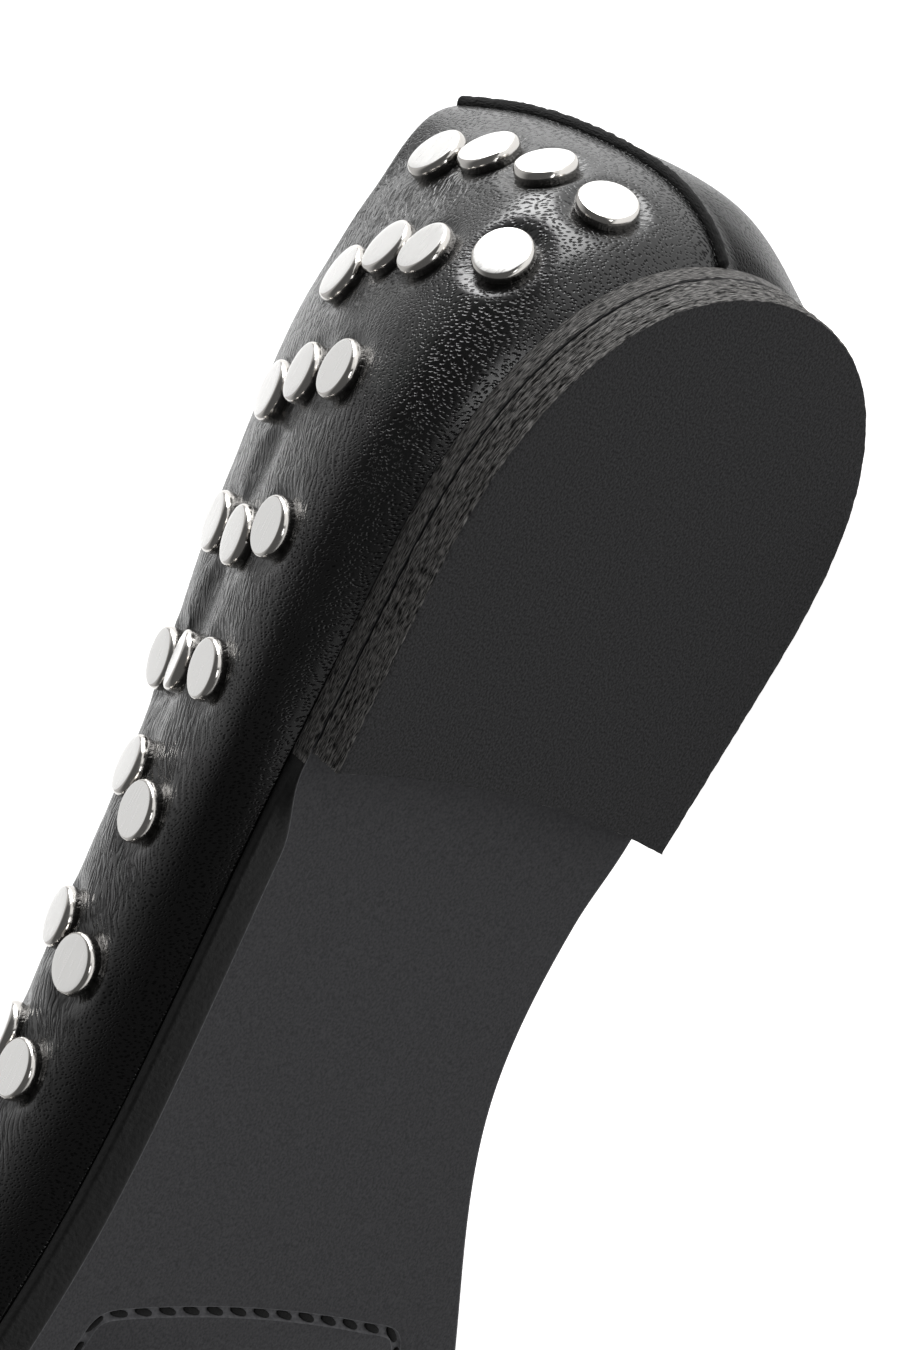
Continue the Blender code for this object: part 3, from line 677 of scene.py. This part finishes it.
def brush(metal, length, width, smooth, rough):
    """Gives a metal brushed streaks, drawn coarser than real ones so that they show: their length and width
    in mm, and the roughness between and along them."""
    here = add_node(metal, "TexCoord", {}).outputs["Object"]
    each = add_node(metal, "ObjectInfo", {}).outputs["Random"]
    shifted = add_node(metal, "VectorMath", {0: here, 1: each}, operation="ADD")
    sized = add_node(metal, "Mapping", {
        "Vector": shifted, "Scale": (length * MM, width * MM, MM)}, vector_type="TEXTURE")
    streak = add_node(metal, "TexNoise", {"Vector": sized, "Scale": 1.0, "Detail": 2.0})
    worn = add_node(metal, "MapRange", {0: streak, 1: 0.35, 2: 0.65, 3: smooth, 4: rough})
    scratch = add_node(metal, "Bump", {"Height": streak, "Distance": 0.000002})
    dress(metal, {"Roughness": worn, "Normal": scratch})


# Satin nickel: the brushed top gives a soft broad shine
satin_nickel = new_material("satin_nickel", {"Base Color": colour("#e8e7e5"), "Metallic": 1.0})
brush(satin_nickel, 3.0, 0.3, 0.27, 0.34)
# Polished nickel: the turned rim gives soft light and dark bands
polished_nickel = new_material("polished_nickel", {"Base Color": colour("#bdbab6"), "Metallic": 1.0})
brush(polished_nickel, 0.6, 0.6, 0.1, 0.2)
stud_mesh = bpy.data.meshes.new("disc_stud")
stud_corners = [[int(corner) for corner in face] for face in stud_faces]
stud_mesh.from_pydata((np.array(stud_points) * MM).tolist(), [], stud_corners)
stud_mesh.materials.append(satin_nickel)
stud_mesh.materials.append(polished_nickel)
stud_mesh.polygons.foreach_set("material_index", stud_slots)
stud_mesh.shade_smooth()
for name, (foot, across, rise, out) in stud_seats.items():
    stud = bpy.data.objects.new("disc_" + name, stud_mesh)
    turn = lay @ np.column_stack([across, rise, out])
    stud.matrix_world = Matrix.Translation(Vector(in_frame(foot))) @ Matrix(turn.tolist()).to_4x4()
    bpy.context.scene.collection.objects.link(stud)
    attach(stud, "root")
    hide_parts(name)

# The insole
# A thin board covered with leather, cut to the last's bottom and laid on the outsole inside the upper.
INSOLE = 1.6
INSOLE_INSET = 3.0
INSOLE_GAP = 0.3
INSOLE_STEPS = 360
INSOLE_PROFILE = ((0.4, 0.0), (0.0, 0.3), (0.0, 1.2), (0.15, 1.5), (0.5, INSOLE))


def edge(stations, inset):
    """Points of the sole's edge in plan, moved inwards by inset."""
    return section_at(stations)[:, :2] - outward(stations) * np.reshape(inset, (-1, 1))


insole_stations = np.linspace(0.0, ROUND, INSOLE_STEPS, endpoint=False)
insole_rings = []
for inset, rise in INSOLE_PROFILE:
    plan = edge(insole_stations, INSOLE_INSET + inset)
    insole_rings.append(np.column_stack([plan, seat(plan[:, 0]) + INSOLE_GAP + rise]))
insole_rows = np.arange(len(INSOLE_PROFILE) * INSOLE_STEPS).reshape(-1, INSOLE_STEPS)


def across_strips(row):
    """Faces that close a row of point numbers, each from one side of the shoe to the other."""
    faces = []
    half = len(row) // 2
    for i in range(half):
        corners = [row[i], row[i + 1], row[-i - 1], row[-i]]
        faces.append([corner for k, corner in enumerate(corners) if corner not in corners[:k]])
    return faces


insole_faces = bands(insole_rows) + across_strips(insole_rows[0])
insole_faces += [face[::-1] for face in across_strips(insole_rows[-1])]
# Sock leather: smooth, dull dark grey, faintly mottled
sock_leather = new_material("sock_leather", {"Roughness": 0.65, "IOR": 1.5})
fleck(sock_leather, "lay", (0.8, 0.8, 0.8), "#2a2a28", "#363634", (0.35, 0.65), 0.00005)
insole_points = np.vstack(insole_rings)
insole = make_piece("insole_sock", insole_points, insole_faces, [sock_leather], {"lay": insole_points})
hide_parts("insole")

# The outsole
# One full-length piece of black leather, its upright edge trimmed and inked and its waist bevelled
# underneath. A narrow channel is cut round the forefoot for the stitches.
SOLE_EDGE = 1.25
WAIST_BEVEL = 2.6
MEDIAL_BEVEL = 0.8
BEVEL_START = 2.0
BEVEL_RUN = 10.0
TOE_BEVEL = 1.5
EDGE_LINE = 0.14
SANDED_TO = 63.5
CHANNEL_INSET = 9.3
CHANNEL_CORNER = 3.0
CHANNEL_BACK_LATERAL = 127.3
CHANNEL_BACK_MEDIAL = 122.3
CHANNEL_BOW = 1.1
CHANNEL_HALF = 0.68
CHANNEL_DEPTH = 0.4
CHANNEL_PROFILE = (
    (1.0, 0.0), (0.82, 0.12), (0.6, 0.8), (0.0, 1.0), (-0.6, 0.8), (-0.82, 0.12), (-1.0, 0.0))
WAIST_SPAN = (100.0, 180.0)
EDGE_WAVER = 0.05
SHANK_STEPS = 150
FORE_STEPS = 270
CORNER_STEPS = 6
MARGIN_STEPS = 7
CROSS_STEPS = 42


def station_at(x, stations, inset):
    """How far from the heel's back the edge, moved inwards by inset, reaches x on one side."""
    return float(np.interp(x, edge(stations, inset)[:, 0], np.abs(stations)))


def bevel(stations):
    """How far the bevel takes the underside's edge in: none at the heel, wide along the lateral waist."""
    x = section_at(stations)[:, 0]
    waist = np.where(stations > TIP, MEDIAL_BEVEL, WAIST_BEVEL)
    start = waist * ease((x - HEEL_LENGTH - BEVEL_START) / BEVEL_RUN)
    return start + (TOE_BEVEL - waist) * ease((x - TREAD_START) / (LENGTH - TREAD_START))


# The channel's line: inside the edge round the forefoot, round two small corners and across behind the tread
waist_stations = np.linspace(*WAIST_SPAN, 800)
back_lateral = station_at(CHANNEL_BACK_LATERAL, waist_stations, CHANNEL_INSET)
back_medial = station_at(CHANNEL_BACK_MEDIAL, -waist_stations, CHANNEL_INSET)
fore_end = ROUND - back_medial
corner_steps = np.linspace(0.0, CHANNEL_CORNER, CORNER_STEPS + 1)[:-1]
fore_stations = np.concatenate([
    back_lateral + corner_steps,
    np.linspace(back_lateral + CHANNEL_CORNER, fore_end - CHANNEL_CORNER, FORE_STEPS + 1),
    (fore_end - corner_steps)[::-1]])
from_end = np.minimum(fore_stations - back_lateral, fore_end - fore_stations)
into_corner = CHANNEL_CORNER - np.clip(from_end, 0.0, CHANNEL_CORNER)
fore_inset = CHANNEL_INSET + CHANNEL_CORNER - np.sqrt(CHANNEL_CORNER ** 2 - into_corner ** 2)
fore_line = edge(fore_stations, fore_inset)
cross_share = np.linspace(0.0, 1.0, CROSS_STEPS + 1)[1:-1, None]
cross_line = fore_line[-1] + (fore_line[0] - fore_line[-1]) * cross_share
cross_line[:, :1] -= CHANNEL_BOW * 4.0 * cross_share * (1.0 - cross_share)
channel = np.vstack([fore_line, cross_line])
for _ in range(3):
    channel = (np.roll(channel, 1, axis=0) + 2.0 * channel + np.roll(channel, -1, axis=0)) / 4.0
channel_along = unit(np.roll(channel, -1, axis=0) - np.roll(channel, 1, axis=0))
channel_out = np.column_stack([-channel_along[:, 1], channel_along[:, 0]])

# The edge: a small top round, the upright side, the bevel and a fine pale line where the bevel was cut
sole_stations = np.concatenate([
    np.linspace(0.0, back_lateral, SHANK_STEPS + 1)[:-1], fore_stations,
    np.linspace(fore_end, ROUND, SHANK_STEPS + 1)[1:-1]])
sole_x = section_at(sole_stations)[:, 0]
sole_bevel = bevel(sole_stations)
edge_top = seat(sole_x)
edge_low = edge_top - SOLE_EDGE
edge_bottom = underside(sole_x)
trim = np.array([wobble(station * 0.8, 3.0, 0.0) for station in sole_stations]) * EDGE_WAVER
sole_profile = [
    (0.45, edge_top), (0.12, edge_top - 0.05), (0.02 + trim, edge_top - 0.25), (0.02 + trim, edge_low + 0.2),
    (0.03 * sole_bevel + 0.02, edge_low + (edge_bottom - edge_low) * 0.03)]
for share in (0.12, 0.4, 0.7, 0.95):
    sole_profile.append((sole_bevel * share + 0.02, edge_low + (edge_bottom - edge_low) * share))
sole_profile += [(sole_bevel + 0.1, edge_bottom), (sole_bevel + 0.1 + EDGE_LINE, edge_bottom)]
sole_rings = []
for inset, height in sole_profile:
    sole_rings.append(np.column_stack([edge(sole_stations, inset + np.zeros(len(sole_stations))), height]))
ring_count = len(sole_stations)
sole_rows = np.arange(len(sole_rings) * ring_count).reshape(-1, ring_count)
sole_points = np.vstack(sole_rings)
sole_faces = [face[::-1] for face in across_strips(sole_rows[0])]
sole_slots = [0] * len(sole_faces)
ring_slots = np.where(sole_x < SANDED_TO, 3, 0).tolist()
sole_faces += bands(sole_rows[-2::-1]) + bands(sole_rows[:-3:-1])
sole_slots += ring_slots * (len(sole_rows) - 2) + [2] * ring_count


def under_sole(plan, depth):
    """Points of the underside over a plan, raised into the sole by depth."""
    return np.column_stack([plan, underside(plan[:, 0]) + depth])


# The channel's rounded trough
channel_rows = []
for offset, depth in CHANNEL_PROFILE:
    plan = channel + channel_out * offset * CHANNEL_HALF
    channel_rows.append(len(sole_points) + np.arange(len(plan)))
    sole_points = np.vstack([sole_points, under_sole(plan, depth * CHANNEL_DEPTH)])
sole_faces += bands(channel_rows[::-1])
sole_slots += [2] * (len(sole_faces) - len(sole_slots))
lip = channel_rows[0]

# The forefoot's margin, from the edge to the channel
fore = np.arange(SHANK_STEPS, SHANK_STEPS + len(fore_stations))
margin_rows = [sole_rows[-1][fore]]
rim_plan = sole_points[margin_rows[0]][:, :2]
lip_plan = sole_points[lip[:len(fore)]][:, :2]
for step in range(1, MARGIN_STEPS):
    plan = rim_plan + (lip_plan - rim_plan) * step / MARGIN_STEPS
    margin_rows.append(len(sole_points) + np.arange(len(plan)))
    sole_points = np.vstack([sole_points, under_sole(plan, 0.0)])
margin_rows.append(lip[:len(fore)])
for outside, inside in zip(margin_rows[:-1], margin_rows[1:]):
    sole_faces += np.column_stack([inside[:-1], outside[:-1], outside[1:], inside[1:]]).tolist()


def sheet(points, lateral, medial, front, bend_from):
    """Rows from the lateral to the medial numbers, bent to end at the front row: their plans and faces."""
    line = points[front][:, :2]
    share = np.append(0.0, np.cumsum(np.linalg.norm(np.diff(line, axis=0), axis=1)))
    share = (share / share[-1])[:, None]
    bow = line - (line[0] + (line[-1] - line[0]) * share)
    plans = []
    rows = []
    for i in range(1, len(lateral)):
        ends = points[[lateral[i], medial[i]]][:, :2]
        bend = ease((i / len(lateral) - bend_from) / (1.0 - bend_from))
        plan = ends[0] + (ends[1] - ends[0]) * share + bow * bend
        start = len(points) + len(plans) * (len(front) - 2)
        rows.append([lateral[i]] + list(range(start, start + len(front) - 2)) + [medial[i]])
        plans.append(plan[1:-1])
    rows.append(front)
    faces = [[lateral[0], b, a] for a, b in zip(rows[0][:-1], rows[0][1:])]
    for behind, ahead in zip(rows[:-1], rows[1:]):
        faces += np.column_stack([behind[:-1], behind[1:], ahead[1:], ahead[:-1]])[:, ::-1].tolist()
    return np.vstack(plans), faces


# The shank, from the heel's back to the channel's straight run, and the forefoot inside the channel
lateral_margin = [row[0] for row in margin_rows]
medial_margin = [row[-1] for row in margin_rows[::-1]]
shank_front = lateral_margin + list(lip[len(fore):][::-1]) + medial_margin
bottom_rim = sole_rows[-1]
shank_plan, shank_faces = sheet(
    sole_points, bottom_rim[:SHANK_STEPS], np.roll(bottom_rim[::-1], 1)[:SHANK_STEPS], shank_front, 0.6)
sole_points = np.vstack([sole_points, under_sole(shank_plan, 0.0)])
sole_faces += shank_faces + across_strips(np.roll(channel_rows[-1], CROSS_STEPS // 2))
sole_slots += [1] * (len(sole_faces) - len(sole_slots))
sole_wrap = np.zeros(sole_points.shape)
sole_wrap[:sole_rows.size, 0] = np.tile(sole_stations, len(sole_rings))
sole_wrap[:sole_rows.size, 1] = sole_points[:sole_rows.size, 2]

# Inked sole edge: near black, a little waxed
inked_edge = new_material("inked_sole_edge", {"Roughness": 0.55, "IOR": 1.45, "Specular IOR Level": 0.32})
fleck(inked_edge, "lay", (0.5, 0.5, 0.5), "#050505", "#121212", (0.35, 0.65), 0.00008)
# Buffed sole leather: matte charcoal, finely speckled
buffed_sole = new_material("buffed_sole_leather", {"Roughness": 0.8, "IOR": 1.45, "Specular IOR Level": 0.27})
fleck(buffed_sole, "lay", (0.3, 0.3, 0.3), "#212123", "#353537", (0.3, 0.7), 0.00005)
# Cut channel: the paler flesh of the same leather
cut_channel = new_material("cut_channel_leather", {
    "Roughness": 0.85, "IOR": 1.45, "Specular IOR Level": 0.27})
fleck(cut_channel, "lay", (0.5, 0.5, 0.5), "#3c3c3e", "#4c4c4e", (0.35, 0.65), 0.00008)
# Sanded sole edge: at the heel the edge is sanded with the lifts, so that pale torn fibres speckle the black
SANDED = {"Roughness": 0.6, "IOR": 1.45, "Specular IOR Level": 0.2}
TORN_FIBRES = ("wrap", (1.0, 0.12, 1.0), "#080808", "#7c7a78", (0.4, 0.68), 0.0003)
sanded_edge = new_material("sanded_sole_edge", SANDED)
fleck(sanded_edge, *TORN_FIBRES)
sole_leathers = [inked_edge, buffed_sole, cut_channel, sanded_edge]
sole_marks = {"lay": sole_points, "wrap": sole_wrap}
sole = make_piece("leather_outsole", sole_points, sole_faces, sole_leathers, sole_marks, sole_slots)
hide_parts("outsole")

# The sole's stitches
# Waxed thread in the channel, one short slanted stitch after another, drawn down level with the leather.
STITCH_PITCH = 3.4
STITCH_LENGTH = 2.6
STITCH_WIDTH = 0.9
STITCH_HEIGHT = 0.5
STITCH_SLANT = 0.26
STITCH_BLUNT = 0.7
STITCH_END = 0.08
STITCH_SET = 0.22
STITCH_AHEAD = 0.4
STITCH_RINGS = 6
STITCH_SIDES = 12
loop = np.vstack([channel, channel[:1]])
loop_length = np.append(0.0, np.cumsum(np.linalg.norm(np.diff(loop, axis=0), axis=1)))
stitch_count = int(loop_length[-1] / STITCH_PITCH)
stitch_points = []
stitch_faces = []
for i in range(stitch_count):
    run = loop_length[-1] * i / stitch_count
    middle, ahead = (
        np.array([np.interp(distance, loop_length, loop[:, axis]) for axis in range(2)])
        for distance in (run, run + STITCH_AHEAD))
    ahead = ahead - middle
    heading = math.atan2(ahead[1], ahead[0]) + STITCH_SLANT
    along = np.array([math.cos(heading), math.sin(heading)])
    side = np.array([-along[1], along[0]])
    start = len(stitch_points)
    for ring in range(STITCH_RINGS + 1):
        tilt = math.pi * ring / STITCH_RINGS
        for j in range(STITCH_SIDES):
            spin = 2.0 * math.pi * j / STITCH_SIDES
            reach = math.sin(max(min(tilt, math.pi - STITCH_END), STITCH_END)) ** STITCH_BLUNT
            plan = middle + along * (-0.5 * STITCH_LENGTH * math.cos(tilt)) + side * (
                0.5 * STITCH_WIDTH * reach * math.cos(spin))
            height = underside(plan[0]) + STITCH_SET + 0.5 * STITCH_HEIGHT * reach * math.sin(spin)
            stitch_points.append((plan[0], plan[1], float(height)))
    rows = start + np.arange((STITCH_RINGS + 1) * STITCH_SIDES).reshape(-1, STITCH_SIDES)
    stitch_faces += bands(rows[::-1]) + [rows[0].tolist(), rows[-1][::-1].tolist()]

# Waxed thread: dull black, with fine plies
waxed_thread = new_material("waxed_thread", {"Roughness": 0.8, "IOR": 1.45, "Specular IOR Level": 0.15})
fleck(waxed_thread, "lay", (0.3, 0.3, 0.3), "#050505", "#0c0c0c", (0.4, 0.7), 0.00008)
stitches = make_piece(
    "sole_stitches", np.array(stitch_points), stitch_faces, [waxed_thread], {"lay": stitch_points})

# The heel
# A low stack of thin leather lifts, glued, trimmed and sanded together, with a hollow breast and a buffed
# bottom. The lifts' joints show as fine broken lines round the side.
HEEL_GAP = 0.18
BREAST_SAG = 2.3
HEEL_SIDE_STEPS = 260
BREAST_STEPS = 60
HEEL_LEVELS = 32
HEEL_ROUND = 0.16
HEEL_ROUND_IN = 0.14
HEEL_TOP_IN = 0.5
HEEL_TRIM = 0.05
HEEL_LOW_LEVELS = (0.0, 0.04)
HEEL_MID_FROM = 0.1
HEEL_MID_CLEAR = 0.08
LIFT_JOINTS = (0.7, 1.5, 2.1, 3.0, 3.7)
JOINT_DEPTH = 0.35
JOINT_WIDTH = 0.1
JOINT_DRIFT = 0.12
# Torn fibres in relief: how far they stand, their fineness along and up, and a shift of the pattern
FIBRES = ((0.1, 0.6, 5.0, 0.0), (0.08, 1.2, 8.0, 5.0))
heel_reach = station_at(HEEL_LENGTH, fine_stations, 0.0)
heel_reach_medial = station_at(HEEL_LENGTH, -fine_stations, 0.0)
heel_lateral = edge(np.linspace(0.0, heel_reach, HEEL_SIDE_STEPS + 1), 0.0)
heel_medial = edge(-np.linspace(0.0, heel_reach_medial, HEEL_SIDE_STEPS + 1), 0.0)
across = np.linspace(1.0, -1.0, BREAST_STEPS + 1)
breast_y = np.linspace(heel_lateral[-1, 1], heel_medial[-1, 1], BREAST_STEPS + 1)
breast = np.column_stack([HEEL_LENGTH - BREAST_SAG * (1.0 - across ** 2), breast_y])
heel_outline = np.vstack([heel_lateral, breast[1:-1], heel_medial[:0:-1]])
heel_along = unit(np.roll(heel_outline, -1, axis=0) - np.roll(heel_outline, 1, axis=0))
heel_out = np.column_stack([-heel_along[:, 1], heel_along[:, 0]])
heel_run = np.append(0.0, np.cumsum(np.linalg.norm(np.diff(heel_outline, axis=0), axis=1)))
heel_top = HEEL_HEIGHT - HEEL_GAP
rounding = np.full(len(heel_outline), HEEL_ROUND_IN)
rounding[HEEL_SIDE_STEPS:HEEL_SIDE_STEPS + BREAST_STEPS + 1] = 0.0
heel_points = []
heel_wrap = []
heel_mid = np.linspace(HEEL_MID_FROM, heel_top - HEEL_MID_CLEAR, HEEL_LEVELS)
for height in np.concatenate([HEEL_LOW_LEVELS, heel_mid, [heel_top]]):
    rounded = rounding * (1.0 - ease(height / HEEL_ROUND))
    rounded = rounded + HEEL_TOP_IN * (1.0 - ease((heel_top - height) / HEEL_ROUND))
    inset = []
    for run in heel_run:
        fibre = sum(stand * wobble(run * fine, height * up, shift) for stand, fine, up, shift in FIBRES)
        for joint in LIFT_JOINTS:
            middle = joint + JOINT_DRIFT * wobble(run * 0.1, joint * 3.0, 9.0)
            open_here = ease(0.55 + 1.4 * wobble(run * 0.16, joint * 5.0, 2.0))
            fibre += JOINT_DEPTH * open_here * math.exp(-((height - middle) / JOINT_WIDTH) ** 2)
        inset.append(HEEL_TRIM + fibre)
    plan = heel_outline - heel_out * (np.array(inset) + rounded)[:, None]
    heel_points.append(np.column_stack([plan, np.full(len(plan), height)]))
    heel_wrap.append(np.column_stack([heel_run, np.full(len(plan), height), np.zeros(len(plan))]))
heel_rows = np.arange(len(heel_points) * len(heel_outline)).reshape(-1, len(heel_outline))
heel_points = np.vstack(heel_points)
heel_faces = bands(heel_rows)
heel_slots = [0] * len(heel_faces)
for ring, height, turned in ((heel_rows[0], 0.0, 1), (heel_rows[-1], heel_top, -1)):
    plan, faces = sheet(
        heel_points, ring[:HEEL_SIDE_STEPS], np.roll(ring[::-1], 1)[:HEEL_SIDE_STEPS],
        list(ring[HEEL_SIDE_STEPS:HEEL_SIDE_STEPS + BREAST_STEPS + 1]), 0.3)
    heel_points = np.vstack([heel_points, np.column_stack([plan, np.full(len(plan), height)])])
    heel_faces += [face[::turned] for face in faces]
heel_slots += [1] * (len(heel_faces) - len(heel_slots))
heel_wrap = np.vstack(heel_wrap + [np.zeros((len(heel_points) - heel_rows.size, 3))])

# Stacked lifts: black-dyed leather, sanded, so that pale torn fibres speckle the black
stacked_lifts = new_material("stacked_leather_lifts", SANDED)
fleck(stacked_lifts, *TORN_FIBRES)
# Buffed top piece: matte charcoal leather, finely speckled
buffed_top = new_material("buffed_top_piece", {"Roughness": 0.85, "IOR": 1.45, "Specular IOR Level": 0.2})
fleck(buffed_top, "lay", (0.28, 0.28, 0.28), "#111112", "#2f2f30", (0.3, 0.7), 0.0001)
heel_marks = {"lay": heel_points, "wrap": heel_wrap}
heel_leathers = [stacked_lifts, buffed_top]
heel = make_piece("stacked_heel", heel_points, heel_faces, heel_leathers, heel_marks, heel_slots)
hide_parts("heel_stack")

# The floor
# A plain white studio table, lit so brightly that it shows as white.
FLOOR_HALF = 4.0
floor_mesh = bpy.data.meshes.new("studio_floor")
floor_corners = [(x * FLOOR_HALF, y * FLOOR_HALF, 0.0) for x, y in ((-1, -1), (1, -1), (1, 1), (-1, 1))]
floor_mesh.from_pydata(floor_corners, [], [[0, 1, 2, 3]])
floor = bpy.data.objects.new("studio_floor", floor_mesh)
bpy.context.scene.collection.objects.link(floor)
# White table: matte, with some light of its own
white_table = new_material("white_table", {
    "Base Color": colour("#f4f4f4"), "Roughness": 0.9, "Emission Color": colour("#ffffff")})
# Its light fades some way off on the sole's side, which keeps the black sole from looking grey
table_place = add_node(white_table, "TexCoord", {}).outputs["Object"]
table_end = add_node(white_table, "SeparateXYZ", {0: table_place}).outputs[1]
lit = add_node(white_table, "MapRange", {
    0: table_end, 1: 0.2, 2: 0.6, 3: 0.95, 4: 0.25}, **SOFT_RAMP)
dress(white_table, {"Emission Strength": lit})
floor_mesh.materials.append(white_table)

# The light
# Plain soft studio light: a bright wall behind the shoe, a dim room on the sole's side and overhead, a strong
# low soft box at the heel's end and two weaker ones beside it.
world = bpy.data.worlds.new("studio")
bpy.context.scene.world = world
world.use_nodes = True
sky = world.node_tree.nodes["Background"]
toward = add_node(world, "TexCoord", {}).outputs["Generated"]
behind = add_node(world, "VectorMath", {0: toward, 1: (0.087, -0.99, 0.1)}, operation="DOT_PRODUCT")
glow = add_node(world, "MapRange", {
    0: behind.outputs["Value"], 1: 0.1, 2: 0.85, 3: 0.14, 4: 0.82}, **SOFT_RAMP)
set_inputs(world, sky, {"Strength": glow, "Color": colour("#ffffff")})
SOFT_BOXES = {
    "heel_box": ((-1.07, -0.54, 0.22), (1.45, 0.46), 22.0),
    "side_box": ((-1.05, 0.6, 0.2), (1.0, 0.38), 1.5),
    "low_box": ((-0.365, 1.124, 0.21), (0.42, 0.15), 1.2),
}
middle = Vector((0.0, 0.0, 0.03))
for name, (spot, size, watts) in SOFT_BOXES.items():
    light = bpy.data.lights.new(name, "AREA")
    light.shape = "RECTANGLE"
    light.size, light.size_y = size
    light.energy = watts
    box = bpy.data.objects.new(name, light)
    box.location = spot
    box.rotation_euler = (middle - Vector(spot)).to_track_quat("-Z", "Y").to_euler()
    bpy.context.scene.collection.objects.link(box)
bpy.context.scene.view_settings.view_transform = "Standard"

# The camera
# A long lens, close over the sole and heel, rolled so that the heel points up the picture.
CAMERA_AIM = np.array([48.88, 17.95, 0.0])
CAMERA_AWAY = 1423.0
CAMERA_BACK = np.array([-0.2284, 0.7325, -0.6413])
CAMERA_UP = np.array([-0.8504, 0.1706, 0.4978])
CAMERA_LENS = 365.44
camera = bpy.data.objects.new("camera", bpy.data.cameras.new("camera"))
camera.data.lens = CAMERA_LENS
camera.data.sensor_width = 36.0
back = lay @ unit(CAMERA_BACK)
up = lay @ CAMERA_UP
up = unit(up - back * (up @ back))
camera_turn = np.column_stack([np.cross(up, back), up, back])
camera_at = in_frame(CAMERA_AIM + unit(CAMERA_BACK) * CAMERA_AWAY)
camera.matrix_world = Matrix.Translation(Vector(camera_at)) @ Matrix(camera_turn.tolist()).to_4x4()
bpy.context.scene.collection.objects.link(camera)
bpy.context.scene.camera = camera
